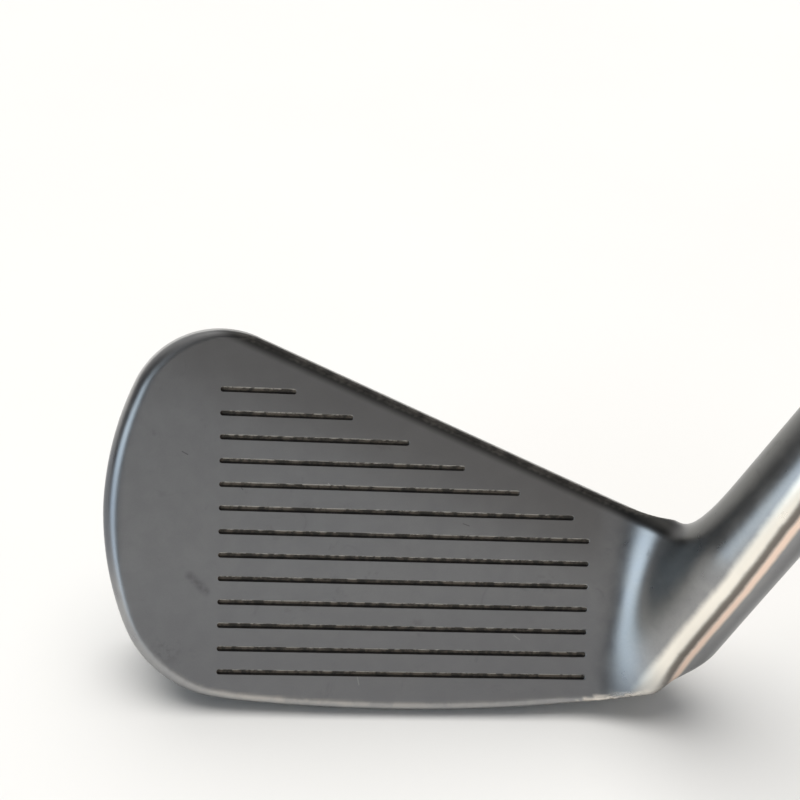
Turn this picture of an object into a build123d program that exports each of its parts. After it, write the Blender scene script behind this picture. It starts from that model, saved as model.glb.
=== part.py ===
from build123d import *
import math
import os

# Right-handed cavity-back iron at address, in millimetres.
# X runs from toe to heel along the score lines, Y from the target side to the back of the head, Z up.
# The origin is where the sole touches the ground, under the middle of the score lines.
# A height "on the face" is measured up the face from the sharp leading edge, a depth is behind the face.

# ---- driving dimensions: the club ------------------------------------------------------------
club_length = 965.0          # ground to butt end, measured along the shaft
face_loft = 27.0             # lean of the face from the vertical, degrees
lie = 64.0                   # lean of the shaft from the ground, degrees
bounce = 3.0                 # fall of the sole behind the leading edge, degrees
shaft_ground_x = 32.8        # where the shaft axis would meet the ground
offset = 2.6                 # leading edge behind the front of the hosel

# ---- driving dimensions: the blade -----------------------------------------------------------
toe_radius = 45.0            # long curve of the toe
toe_reach = 43.8             # score-line centre to the furthest point of the toe
toe_mid_height = 29.0        # height of that point on the face
topline_slope = 22.2         # fall of the topline towards the heel, degrees
topline_height = 45.0        # height of the topline above the middle of the sole, on the face
toe_top_radius = 13.5
toe_bottom_radius = 15.5
sole_camber_radius = 270.0   # heel-to-toe curve of the sole
heel_cut_x = 37.5            # where the blade ends inside the neck
heel_radius = 9.0            # lower heel corner of the blade
sole_width = 18.6
contact_depth = 11.0         # leading edge to the point that touches the ground
sole_relief = 9.0            # rise of the rear part of the sole, degrees
topline_thickness = 6.2
flange_top_height = 18.5     # top corner of the thick lower back, on the face
flange_top_depth = 13.0
ledge_rise = 3.0             # rise of the ledge from the flange to the thin upper back
face_edge_radius = 1.4       # round between the face and the sole, toe and topline

# ---- driving dimensions: neck ----------------------------------------------------------------
neck_start = (27.0, 15.6, 5.5)   # X, height on the face and depth where the neck leaves the blade
neck_start_half = (12.9, 5.0)    # half height and half thickness there
neck_corner = (42.8, -5.2, 13.2)  # the bend that the neck's centre line rounds off
neck_top_distance = 46.0     # where the neck becomes the round hosel
neck_squareness = 2.4        # 2 is an ellipse, more is squarer
neck_ring_count = 9
ring_points = 16             # points round each neck section

# ---- driving dimensions: score lines ---------------------------------------------------------
groove_count = 13
groove_pitch = 3.4
groove_width = 0.8
groove_depth = 0.42
groove_heel_x = 26.5         # heel end of the long score lines
groove_toe_x = -28.0         # toe end of the first score line
groove_top_height = 46.9     # first score line on the face
groove_lean = 1.6            # lean of the column of score-line ends, degrees
groove_top_margin = 5.1      # score-line end to the topline, measured up the face

# ---- driving dimensions: cavity, badge and toe weight ----------------------------------------
face_wall = 3.0
cavity_rim = 6.0             # rim left along the topline and the toe
cavity_heel_x = 25.0
cavity_low_height = 17.0     # lowest edge of the cavity on the face
cavity_corner_radius = 4.0
pad_gap = 0.5                # gap between the cavity wall and the damping pad
pad_height = 19.0            # height of the pad above the cavity's lower edge
pad_thickness = 1.2
adhesive_thickness = 0.25
adhesive_inset = 0.8
badge_thickness = 0.9
badge_inset = 1.4            # badge edge inside the pad edge
badge_chamfer = 0.25
toe_weight_radius = 3.2
toe_weight_length = 6.0
toe_weight_x = -23.0
weight_fit = 0.02            # radial gap round a pressed plug

# ---- driving dimensions: hosel, ferrule, shaft -----------------------------------------------
hosel_radius = 6.8
hosel_top = 66.0             # ground to hosel top along the axis
hosel_rim = 0.5              # chamfer on the hosel top
bore_depth = 32.0
tip_gap = 2.0                # bore floor to shaft tip
bond_gap = 0.08              # radial thickness of the bond line
tip_radius = 4.70
butt_radius = 7.62
shaft_wall = 0.45
tip_length = 215.0
butt_length = 330.0
step_count = 14
step_ramp = 1.5              # length of the cone at each step
tip_weight_length = 18.0
tip_weight_fit = 0.01        # radial gap between tip weight and shaft bore
ferrule_length = 24.0
ferrule_wall = 0.8           # wall of the ferrule at its top
ferrule_fit = 0.03           # radial gap between ferrule and shaft
ferrule_bulge = 0.25         # bulge of the ferrule's side
epoxy_shy = 0.5              # bond line ends this far inside the hosel mouth
ring_width = 1.0
ring_depth = 0.5
ring_places = (4.0, 7.0)     # trim rings above the hosel top

# ---- driving dimensions: grip ----------------------------------------------------------------
grip_length = 268.0          # grip mouth to the underside of the cap
grip_butt_radius = 13.4
grip_mouth_radius = 9.3
grip_mouth_round = 0.5
cap_thickness = 4.0
cap_edge_radius = 1.6
vent_radius = 1.6
tape_thickness = 0.14
band_thickness = 0.08
band_length = 45.0
band_gap = 8.0               # bare shaft between band and grip mouth

# ---- worked out from the driving dimensions --------------------------------------------------
loft_sin = math.sin(math.radians(face_loft))
loft_cos = math.cos(math.radians(face_loft))
lie_sin = math.sin(math.radians(lie))
lie_cos = math.cos(math.radians(lie))
face_up = Vector(0, loft_sin, loft_cos)
face_out = Vector(0, -loft_cos, loft_sin)
sole_dir = Vector(0, math.cos(math.radians(bounce)), -math.sin(math.radians(bounce)))
shaft_dir = Vector(lie_cos, 0, lie_sin)
shaft_side = Vector(lie_sin, 0, -lie_cos)

edge_point = sole_dir * -contact_depth
shaft_y = edge_point.Y - offset + hosel_radius
shaft_origin = Vector(shaft_ground_x, shaft_y, 0)
shaft_axis = Axis(shaft_origin, shaft_dir)

face_plane = Plane(origin=edge_point, x_dir=(1, 0, 0), z_dir=face_out)
shaft_section = Plane(origin=shaft_origin, x_dir=shaft_side, z_dir=shaft_side.cross(shaft_dir))
sweep_depth = 2 * sole_width
topline_fall = math.tan(math.radians(topline_slope))

bore_radius = tip_radius + bond_gap
bore_floor = hosel_top - bore_depth
ferrule_top_radius = tip_radius + ferrule_wall
shaft_tip = bore_floor + tip_gap
shaft_butt = club_length - cap_thickness
grip_mouth = shaft_butt - grip_length
tape_radius = butt_radius + tape_thickness
first_step = shaft_tip + tip_length
last_step = shaft_butt - butt_length
step_pitch = (last_step - first_step) / (step_count - 1)
step_rise = (butt_radius - tip_radius) / step_count


def save(part, name):
    """Label a finished piece and write its file."""
    part.label = name
    export_step(part, f"parts/{name}.step")


def along_shaft(distance):
    """Plane square to the shaft, at a distance above the ground."""
    return Plane(origin=shaft_origin + shaft_dir * distance, x_dir=(0, -1, 0), z_dir=shaft_dir)


def behind_face(depth):
    """Plane parallel to the face at a depth behind it, facing the same way."""
    return face_plane.offset(-depth)


def from_face(height, depth):
    """(Y, Z) of a point given by its height on the face and its depth behind it."""
    point = edge_point + face_up * height - face_out * depth
    return (point.Y, point.Z)


def outline(inset=0.0):
    """Face outline on the current sketch: toe curve, sole curve, topline and heel cut."""
    with Locations((toe_radius - toe_reach, toe_mid_height)):
        Circle(toe_radius - inset)
    with Locations((0, sole_camber_radius)):
        Circle(sole_camber_radius - inset, mode=Mode.INTERSECT)
    with Locations((0, topline_height - inset / math.cos(math.radians(topline_slope)))):
        Rectangle(
            6 * toe_radius,
            4 * toe_radius,
            rotation=-topline_slope,
            align=(Align.CENTER, Align.MAX),
            mode=Mode.INTERSECT,
        )
    with Locations((heel_cut_x - inset, 0)):
        Rectangle(4 * toe_radius, 6 * toe_radius, align=(Align.MAX, Align.CENTER), mode=Mode.INTERSECT)


def face_sketch(depth):
    """The blade's outline with its rounded toe, at a depth behind the face."""
    with BuildSketch(behind_face(depth)) as shape:
        outline()
        fillet(shape.vertices().sort_by(Axis.Y)[-1], toe_top_radius)
        toe_side = shape.vertices().filter_by_position(Axis.X, -2 * toe_reach, 0)
        fillet(toe_side.sort_by(Axis.Y)[0], toe_bottom_radius)
        heel_side = shape.vertices().filter_by_position(Axis.X, heel_cut_x - 1, heel_cut_x + 1)
        fillet(heel_side.sort_by(Axis.Y)[0], heel_radius)
    return shape.sketch


def cavity_sketch(depth, inset, height=None):
    """The cavity's outline at a depth behind the face, inset all round and cut off at a height."""
    with BuildSketch(behind_face(depth)) as shape:
        outline(cavity_rim + inset)
        with Locations((cavity_heel_x - inset, cavity_low_height + inset)):
            Rectangle(
                4 * toe_radius, 4 * toe_radius, align=(Align.MAX, Align.MIN), mode=Mode.INTERSECT
            )
        if height is not None:
            with Locations((0, cavity_low_height + height - inset)):
                Rectangle(
                    4 * toe_radius, 4 * toe_radius, align=(Align.CENTER, Align.MAX), mode=Mode.INTERSECT
                )
        fillet(shape.vertices(), cavity_corner_radius - inset)
    return shape.sketch


def turned(profile):
    """Solid turned about the shaft from (radius, distance along the axis) corners."""
    with BuildPart() as body:
        with BuildSketch(shaft_section):
            with BuildLine():
                Polyline(*profile, close=True)
            make_face()
        revolve(axis=shaft_axis)
    return body


def sleeve(inner, outer, start, end):
    """Plain tube about the shaft axis."""
    with BuildPart() as body:
        with BuildSketch(along_shaft(start)):
            Circle(outer)
            Circle(inner, mode=Mode.SUBTRACT)
        extrude(amount=end - start)
    return body


def mix(start, end, share):
    """Value a share of the way from start to end."""
    return start + (end - start) * share


def neck_ring(share):
    """Superellipse section of the neck, from the blade (0) to the hosel (1)."""
    ease = share * share * (3 - 2 * share)
    start = Vector(neck_start[0], *from_face(neck_start[1], neck_start[2]))
    corner = Vector(*neck_corner)
    end = along_shaft(neck_top_distance).origin
    centre = mix(mix(start, corner, share), mix(corner, end, share), share)
    turn = math.radians(lie * ease)
    lean = math.radians(mix(face_loft, 0, ease))
    half_height = mix(neck_start_half[0], hosel_radius, ease)
    half_depth = mix(neck_start_half[1], hosel_radius, ease)
    squareness = mix(neck_squareness, 2, ease)
    corners = []
    for step in range(ring_points):
        angle = 2 * math.pi * step / ring_points
        rise = math.copysign(abs(math.cos(angle)) ** (2 / squareness), math.cos(angle))
        side = math.copysign(abs(math.sin(angle)) ** (2 / squareness), math.sin(angle))
        corners.append((half_height * rise, half_depth * side))
    up = Vector(-math.sin(turn), math.tan(lean), math.cos(turn))
    normal = Vector(math.cos(turn), 0, math.sin(turn))
    with BuildSketch(Plane(origin=centre, x_dir=up, z_dir=normal)) as ring:
        with BuildLine():
            Spline(*corners, periodic=True)
        make_face()
    return ring.sketch


# Corners of the flange's back, as (Y, Z), and the plane of that back at the toe weight.
flange_low = (
    sole_width - contact_depth,
    (sole_width - contact_depth) * math.tan(math.radians(sole_relief)),
)
flange_high = from_face(flange_top_height, flange_top_depth)
flange_rise = Vector(0, flange_high[0] - flange_low[0], flange_high[1] - flange_low[1])
weight_plane = Plane(
    origin=Vector(toe_weight_x, *flange_low) + flange_rise / 2,
    x_dir=(1, 0, 0),
    z_dir=Vector(1, 0, 0).cross(flange_rise) * -1,
)

os.makedirs("parts", exist_ok=True)

# ---- blade -----------------------------------------------------------------------------------
ahead = 1.0                  # cutting shapes start this far ahead of the face
with BuildPart() as blade:
    # Swept back along the sole below the toe, and square to the face above it.
    extrude(face_sketch(0), amount=sweep_depth, dir=sole_dir)
    extrude(face_sketch(-ahead), amount=sweep_depth, dir=-face_out, mode=Mode.INTERSECT)
    # Side section: sole with its rear relief, thick flange, ledge and thin upper back.
    with BuildSketch(Plane.YZ) as side_shape:
        with BuildLine():
            Polyline(
                from_face(3 * toe_radius, -ahead),
                from_face(-sole_width, -ahead),
                (0, 0),
                flange_low,
                flange_high,
                from_face(flange_top_height + ledge_rise, topline_thickness),
                from_face(3 * toe_radius, topline_thickness),
                close=True,
            )
        make_face()
    extrude(side_shape.sketch, amount=4 * toe_reach, both=True, mode=Mode.INTERSECT)
    face_edges = blade.faces().sort_by(Axis(edge_point, face_out))[-1].outer_wire().edges()
    fillet(face_edges.sort_by(Axis.X)[:-1], face_edge_radius)
    # Cavity in the back.
    extrude(cavity_sketch(face_wall, 0), amount=-sweep_depth, mode=Mode.SUBTRACT)

# ---- neck ------------------------------------------------------------------------------------
neck_rings = [neck_ring(step / (neck_ring_count - 1)) for step in range(neck_ring_count)]
with BuildPart() as neck:
    loft(sections=neck_rings)

# ---- head: blade, neck, hosel, shaft bore, score lines ---------------------------------------
groove_lean_rate = math.tan(math.radians(groove_lean))
with BuildPart() as head_body:
    add(blade.part)
    add(neck.part)
    # The hosel carries on from the last section of the neck.
    extrude(neck_rings[-1], amount=hosel_top - neck_top_distance)
    chamfer(head_body.faces().sort_by(shaft_axis)[-1].edges(), hosel_rim)
    with BuildSketch(along_shaft(bore_floor)) as bore_round:
        Circle(bore_radius)
    extrude(bore_round.sketch, amount=bore_depth, mode=Mode.SUBTRACT)
    with BuildSketch(face_plane) as score_lines:
        for line in range(groove_count):
            drop = line * groove_pitch
            height = groove_top_height - drop
            topline_x = (topline_height - groove_top_margin - height) / topline_fall
            toe_end = groove_toe_x + drop * groove_lean_rate
            heel_end = min(topline_x, groove_heel_x + drop * groove_lean_rate)
            with Locations(((toe_end + heel_end) / 2, height)):
                SlotOverall(heel_end - toe_end, groove_width)
    extrude(score_lines.sketch, amount=-groove_depth, mode=Mode.SUBTRACT)
    with BuildSketch(weight_plane) as weight_hole:
        Circle(toe_weight_radius + weight_fit)
    extrude(weight_hole.sketch, amount=-toe_weight_length, mode=Mode.SUBTRACT)
save(head_body.part, "head_body")

with BuildPart() as toe_weight:
    with BuildSketch(weight_plane):
        Circle(toe_weight_radius)
    extrude(amount=-toe_weight_length)
save(toe_weight.part, "toe_weight")

# ---- damping pad, adhesive and badge on the cavity floor -------------------------------------
pad_back = face_wall + pad_thickness
badge_front = pad_back + adhesive_thickness
with BuildPart() as cavity_pad:
    extrude(cavity_sketch(face_wall, pad_gap, pad_height), amount=-pad_thickness)
save(cavity_pad.part, "cavity_pad")

with BuildPart() as badge_adhesive:
    edge = pad_gap + badge_inset + adhesive_inset
    extrude(cavity_sketch(pad_back, edge, pad_height), amount=-adhesive_thickness)
save(badge_adhesive.part, "badge_adhesive")

with BuildPart() as cavity_badge:
    extrude(cavity_sketch(badge_front, pad_gap + badge_inset, pad_height), amount=-badge_thickness)
    chamfer(cavity_badge.faces().sort_by(Axis(face_plane.origin, face_out))[0].edges(), badge_chamfer)
save(cavity_badge.part, "cavity_badge")

# ---- shaft and what is bonded to it ----------------------------------------------------------
outer_profile = [(tip_radius, shaft_tip)]
for step in range(step_count):
    start = first_step + step * step_pitch
    outer_profile.append((tip_radius + step * step_rise, start - step_ramp))
    outer_profile.append((tip_radius + (step + 1) * step_rise, start))
outer_profile.append((butt_radius, shaft_butt))
inner_profile = [(radius - shaft_wall, distance) for radius, distance in reversed(outer_profile)]
shaft = turned(outer_profile + inner_profile)
save(shaft.part, "shaft")

hosel_epoxy = sleeve(tip_radius, bore_radius, shaft_tip, hosel_top - epoxy_shy)
save(hosel_epoxy.part, "hosel_epoxy")

with BuildPart() as tip_weight:
    with BuildSketch(along_shaft(shaft_tip)):
        Circle(tip_radius - shaft_wall - tip_weight_fit)
    extrude(amount=tip_weight_length)
save(tip_weight.part, "tip_weight")

# ---- ferrule and its trim rings --------------------------------------------------------------
def ferrule_radius(distance):
    """Outer radius of the ferrule, slightly bulged between the hosel and its top."""
    share = (distance - hosel_top) / ferrule_length
    straight = mix(hosel_radius, ferrule_top_radius, share)
    return straight + ferrule_bulge * math.sin(math.pi * share)


ferrule_bore = tip_radius + ferrule_fit
with BuildPart() as ferrule:
    with BuildSketch(shaft_section):
        with BuildLine():
            side = [hosel_top + ferrule_length * step / 8 for step in range(9)]
            Spline(*[(ferrule_radius(distance), distance) for distance in side])
            Polyline(
                (ferrule_top_radius, hosel_top + ferrule_length),
                (ferrule_bore, hosel_top + ferrule_length),
                (ferrule_bore, hosel_top),
                (hosel_radius, hosel_top),
            )
        make_face()
    revolve(axis=shaft_axis)
    for place in ring_places:
        start = hosel_top + place
        with BuildSketch(along_shaft(start)):
            Circle(hosel_radius + 1)
            Circle(ferrule_radius(start) - ring_depth, mode=Mode.SUBTRACT)
        extrude(amount=ring_width, mode=Mode.SUBTRACT)
save(ferrule.part, "ferrule")

rings = []
for place in ring_places:
    start = hosel_top + place
    outer = ferrule_radius(start + ring_width)
    rings.append(sleeve(ferrule_radius(start) - ring_depth, outer, start, start + ring_width).part)
save(Compound(children=rings), "ferrule_trim_rings")

# ---- label band, grip tape, grip and cap -----------------------------------------------------
band_top = grip_mouth - band_gap
shaft_band = sleeve(butt_radius, butt_radius + band_thickness, band_top - band_length, band_top)
save(shaft_band.part, "shaft_band")

grip_tape = sleeve(butt_radius, tape_radius, grip_mouth, shaft_butt)
save(grip_tape.part, "grip_tape")

with BuildPart() as grip:
    with BuildSketch(shaft_section):
        Polygon(
            (tape_radius, grip_mouth),
            (grip_mouth_radius, grip_mouth),
            (grip_butt_radius, shaft_butt),
            (tape_radius, shaft_butt),
            align=None,
        )
    revolve(axis=shaft_axis)
    mouth_edge = grip.edges().filter_by(GeomType.CIRCLE).group_by(shaft_axis)[0].sort_by(SortBy.RADIUS)
    fillet(mouth_edge[-1], grip_mouth_round)
save(grip.part, "grip")

with BuildPart() as grip_cap:
    with BuildSketch(along_shaft(shaft_butt)):
        Circle(grip_butt_radius)
    extrude(amount=cap_thickness)
    cap_edges = grip_cap.edges().filter_by(GeomType.CIRCLE).sort_by(shaft_axis)
    fillet(cap_edges[-1], cap_edge_radius)
    with BuildSketch(along_shaft(shaft_butt)):
        Circle(vent_radius)
    extrude(amount=cap_thickness, mode=Mode.SUBTRACT)
save(grip_cap.part, "grip_cap")
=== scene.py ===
import math

import bpy
import numpy as np
from mathutils import Matrix, Vector


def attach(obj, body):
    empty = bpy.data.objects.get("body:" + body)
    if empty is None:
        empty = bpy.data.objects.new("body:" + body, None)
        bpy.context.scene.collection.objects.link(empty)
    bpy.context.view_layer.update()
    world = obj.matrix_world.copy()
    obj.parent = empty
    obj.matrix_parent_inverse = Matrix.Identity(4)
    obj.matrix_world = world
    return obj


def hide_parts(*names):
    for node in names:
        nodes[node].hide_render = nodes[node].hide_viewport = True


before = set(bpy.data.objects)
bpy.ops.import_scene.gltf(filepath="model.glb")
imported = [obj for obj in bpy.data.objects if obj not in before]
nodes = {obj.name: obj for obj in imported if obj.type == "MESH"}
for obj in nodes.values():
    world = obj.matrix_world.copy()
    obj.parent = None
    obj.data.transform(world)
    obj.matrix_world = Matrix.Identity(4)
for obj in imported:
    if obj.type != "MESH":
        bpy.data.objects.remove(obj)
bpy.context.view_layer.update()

# The head and the grip are worked out in millimetres in the frame's axes, then scaled to metres:
# X from toe to heel, Y from the target side to the back, Z up, origin where the sole touches the ground.
MM = 0.001

# ---- sizes of the head -------------------------------------------------------------------------
LOFT, LIE, BOUNCE = math.radians(27.0), math.radians(64.0), math.radians(3.0)
CONTACT_DEPTH = 11.0
TOE_RADIUS, TOE_REACH, TOE_MID = 45.0, 43.8, 29.0
TOPLINE_SLOPE, TOPLINE_HEIGHT = math.radians(22.2), 45.0
TOE_TOP_ROUND, TOE_BOTTOM_ROUND = 13.5, 15.5
SOLE_CAMBER = 270.0
SOLE_WIDTH, SOLE_RELIEF = 18.6, math.radians(9.0)
TOPLINE_THICK = 6.2
FLANGE_HEIGHT, FLANGE_DEPTH, LEDGE_RISE = 18.5, 13.0, 3.0
FACE_WALL, CAVITY_RIM, CAVITY_HEEL, CAVITY_LOW, CAVITY_CORNER = 3.0, 6.0, 25.0, 17.0, 4.0
SHAFT_X, OFFSET, HOSEL_RADIUS, HOSEL_TOP = 32.8, 2.6, 6.8, 66.0
BORE_RADIUS, BORE_FLOOR = 4.78, 34.0
HEEL_END, HEEL_ROUND = 41.5, 3.0
HEEL_RISE, HEEL_KICK = 1.5, 0.9        # rise of the sole towards the heel, and a short steeper part of it
NECK_BEND_SIDE, NECK_BEND_BACK = 3.3, 4.0    # how far the neck's axis bends near the ground
NECK_BEND_FROM, NECK_BEND_TO = 4.0, 33.0     # stretch of the shaft axis over which it bends
EDGE_ROUND, EDGE_ROUND_TOE, EDGE_ROUND_LOW = 0.6, 1.7, 1.3
SOLE_BLEND, LEDGE_BLEND, RAMP_BLEND = 1.5, 5.0, 4.0
NECK_BLEND_LOW, NECK_BLEND_HIGH = 6.0, 8.5
SMALL_ROUND = 0.7
RAMP_X, RAMP_LEAN, RAMP_SLOPE, RAMP_END = 30.4, 0.11, math.radians(26.0), 40.0
WEIGHT_X, WEIGHT_RADIUS, WEIGHT_LENGTH = -23.0, 3.22, 6.0
GROOVE_COUNT, GROOVE_PITCH, GROOVE_DEPTH, GROOVE_HALF = 13, 3.4, 0.42, 0.4
GROOVE_TOE, GROOVE_HEEL, GROOVE_TOP, GROOVE_MARGIN = -28.0, 26.5, 46.9, 5.1
GROOVE_LEAN = math.tan(math.radians(1.6))
# depth and half width of the cutter's rings: a flared lip, sloping walls and a rounded floor
GROOVE_PROFILE = ((-0.5, 0.52), (-0.02, 0.45), (0.04, 0.39), (0.10, 0.35), (0.30, 0.30), (0.40, 0.18))
HEAD_STEP = 0.5

# ---- sizes along the shaft ---------------------------------------------------------------------
GRIP_MOUTH, GRIP_BUTT = 693.0, 961.0
GRIP_MOUTH_RADIUS, GRIP_BUTT_RADIUS, TAPE_RADIUS = 9.3, 13.4, 7.76
GRIP_SKIN = 0.02             # how far the grip's surface stays inside the CAD grip
GRIP_MOUTH_ROUND = 0.5
PATTERN_AROUND, PATTERN_PITCH, PATTERN_DEPTH, LINE_DEPTH = 22, 4.2, 0.32, 0.35

# ---- camera: turned from square to the face, aimed at a point on the face -----------------------
CAMERA_YAW, CAMERA_PITCH, CAMERA_ROLL = math.radians(8.61), math.radians(5.13), math.radians(2.99)
CAMERA_DISTANCE, CAMERA_LENS = 250.0, 78.26
AIM_X, AIM_HEIGHT = -2.25, 46.31

FACE_UP = np.array([0.0, math.sin(LOFT), math.cos(LOFT)])
FACE_OUT = np.array([0.0, -math.cos(LOFT), math.sin(LOFT)])
EDGE = -CONTACT_DEPTH * np.array([0.0, math.cos(BOUNCE), -math.sin(BOUNCE)])
SHAFT_DIR = np.array([math.cos(LIE), 0.0, math.sin(LIE)])
SHAFT_SIDE = np.array([math.sin(LIE), 0.0, -math.cos(LIE)])
SHAFT_FOOT = np.array([SHAFT_X, EDGE[1] - OFFSET + HOSEL_RADIUS, 0.0])


# ---- implicit surfaces: negative inside, in millimetres -----------------------------------------
def ease(value, start, end):
    """Smooth step from 0 at start to 1 at end."""
    share = np.clip((value - start) / (end - start), 0.0, 1.0)
    return share * share * (3 - 2 * share)


def round_cut(a, b, radius):
    """Intersection of two shapes, its edge rounded."""
    reach = np.hypot(np.maximum(a + radius, 0), np.maximum(b + radius, 0))
    return np.minimum(np.maximum(a, b), -radius) + reach


def soft_join(a, b, width):
    """Union of two shapes with a blended corner."""
    near = np.maximum(width - np.abs(a - b), 0) / width
    return np.minimum(a, b) - near**3 * width / 6


def corner(u, v, a, b, centre, normal_a, normal_b, radius):
    """Intersection of outlines a and b, with a round of known centre between their two normals."""
    du, dv = u - centre[0], v - centre[1]
    turn = normal_a[0] * normal_b[1] - normal_a[1] * normal_b[0]
    share_a = (du * normal_b[1] - dv * normal_b[0]) / turn
    share_b = (dv * normal_a[0] - du * normal_a[1]) / turn
    inner = np.hypot(du, dv) - radius
    return np.where((share_a > 0) & (share_b > 0), inner, np.maximum(a, b))


def line_side(y, z, start, end):
    """Signed distance from a line in the (Y, Z) plane, positive on its right."""
    dy, dz = end[0] - start[0], end[1] - start[1]
    return ((y - start[0]) * dz - (z - start[1]) * dy) / math.hypot(dy, dz)


def from_face(height, depth):
    """Point given by its height on the face and its depth behind it, at the score-line middle."""
    return EDGE + FACE_UP * height - FACE_OUT * depth


# Toe curve, its upper round against the topline and its lower round against the sole curve.
TOE_CENTRE = np.array([TOE_RADIUS - TOE_REACH, TOE_MID])
TOP_NORMAL = np.array([math.sin(TOPLINE_SLOPE), math.cos(TOPLINE_SLOPE)])
TOP_TANGENT = np.array([-TOP_NORMAL[1], TOP_NORMAL[0]])


def upper_round_centre():
    """Centre of the round between the toe curve and the topline."""
    below = (np.array([0.0, TOPLINE_HEIGHT]) - TOE_CENTRE) @ TOP_NORMAL - TOE_TOP_ROUND
    along = math.sqrt((TOE_RADIUS - TOE_TOP_ROUND) ** 2 - below**2)
    return TOE_CENTRE + TOP_NORMAL * below + TOP_TANGENT * along


def lower_round_centre():
    """Centre of the round between the toe curve and the sole curve."""
    sole_centre = np.array([0.0, SOLE_CAMBER])
    gap = sole_centre - TOE_CENTRE
    reach = math.hypot(*gap)
    toe_arm, sole_arm = TOE_RADIUS - TOE_BOTTOM_ROUND, SOLE_CAMBER - TOE_BOTTOM_ROUND
    along = (toe_arm**2 - sole_arm**2 + reach**2) / (2 * reach)
    aside = math.sqrt(toe_arm**2 - along**2)
    toward = gap / reach
    return TOE_CENTRE + toward * along + np.array([-toward[1], toward[0]]) * aside


UPPER_CENTRE, LOWER_CENTRE = upper_round_centre(), lower_round_centre()
FLANGE_LOW = (SOLE_WIDTH - CONTACT_DEPTH, (SOLE_WIDTH - CONTACT_DEPTH) * math.tan(SOLE_RELIEF))
FLANGE_HIGH = from_face(FLANGE_HEIGHT, FLANGE_DEPTH)[1:]
LEDGE_END = from_face(FLANGE_HEIGHT + LEDGE_RISE, TOPLINE_THICK)[1:]


def unit(vector):
    return np.array(vector) / np.linalg.norm(vector)


def outline_fields(x, high, low):
    """Toe, topline and sole distances, and the joined upper and lower outlines."""
    toe_high = np.hypot(x - TOE_CENTRE[0], high - TOE_CENTRE[1]) - TOE_RADIUS
    toe_low = np.hypot(x - TOE_CENTRE[0], low - TOE_CENTRE[1]) - TOE_RADIUS
    sole = np.hypot(x, low - SOLE_CAMBER) - SOLE_CAMBER
    top = (high - TOPLINE_HEIGHT) * TOP_NORMAL[1] + x * TOP_NORMAL[0]
    upper = corner(x, high, toe_high, top, UPPER_CENTRE,
                   unit(UPPER_CENTRE - TOE_CENTRE), TOP_NORMAL, TOE_TOP_ROUND)
    lower = corner(x, low, toe_low, sole, LOWER_CENTRE, unit(LOWER_CENTRE - TOE_CENTRE),
                   unit(LOWER_CENTRE - np.array([0.0, SOLE_CAMBER])), TOE_BOTTOM_ROUND)
    return toe_high, top, sole, upper, lower


def cavity_field(x, out, high, toe_high, top):
    """The pocket in the back of the blade."""
    pocket = round_cut(toe_high + CAVITY_RIM, top + CAVITY_RIM, CAVITY_CORNER)
    pocket = round_cut(pocket, CAVITY_LOW - high, CAVITY_CORNER)
    pocket = round_cut(pocket, x - CAVITY_HEEL, CAVITY_CORNER)
    return round_cut(pocket, out + FACE_WALL, 0.6)


def weight_field(points):
    """The drilled seat of the toe weight, square to the back of the flange."""
    rise = np.array([0.0, FLANGE_HIGH[0] - FLANGE_LOW[0], FLANGE_HIGH[1] - FLANGE_LOW[1]])
    centre = np.array([WEIGHT_X, *FLANGE_LOW]) + rise / 2
    inward = np.cross([1.0, 0.0, 0.0], unit(rise))
    offset = points - centre
    deep = offset @ inward
    radial = np.linalg.norm(offset - deep[:, None] * inward, axis=1)
    return np.maximum(radial - WEIGHT_RADIUS, deep - WEIGHT_LENGTH)


def neck_place(points):
    """Place across the neck and hosel, from an axis that bends heelwards and back near the ground."""
    foot = points - SHAFT_FOOT
    bend = 1 - ease(foot @ SHAFT_DIR, NECK_BEND_FROM, NECK_BEND_TO)
    side, across = foot @ SHAFT_SIDE - NECK_BEND_SIDE * bend, foot[:, 1] - NECK_BEND_BACK * bend
    return side, across, np.hypot(side, across)


def sole_field(x, sole, relief):
    """The sole: cambered, relieved at the rear, rising towards the heel."""
    lift = HEEL_RISE * ease(x, 18.0, 40.0) + HEEL_KICK * ease(x, 28.0, 36.0)
    return -soft_join(-sole - lift, -relief - lift, SOLE_BLEND)


def back_field(y, z, out):
    """The back: thick flange, ledge and thin upper part."""
    back = line_side(y, z, FLANGE_LOW, FLANGE_HIGH)
    ledge = line_side(y, z, FLANGE_HIGH, LEDGE_END)
    return soft_join(-out - TOPLINE_THICK, round_cut(back, ledge, 1.6), LEDGE_BLEND)


def ramp_field(x, y, out, high, wall, behind):
    """The slope that rises from the face to the neck."""
    ramp_start = RAMP_X + RAMP_LEAN * high
    ramp = out * math.cos(RAMP_SLOPE) - (x - ramp_start) * math.sin(RAMP_SLOPE)
    block = round_cut(ramp, np.maximum(wall, -y - 12.6), 2.0)
    block = round_cut(round_cut(block, behind, 1.5), x - RAMP_END, HEEL_ROUND)
    return np.maximum(block, RAMP_X - 4.0 - x)


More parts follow.
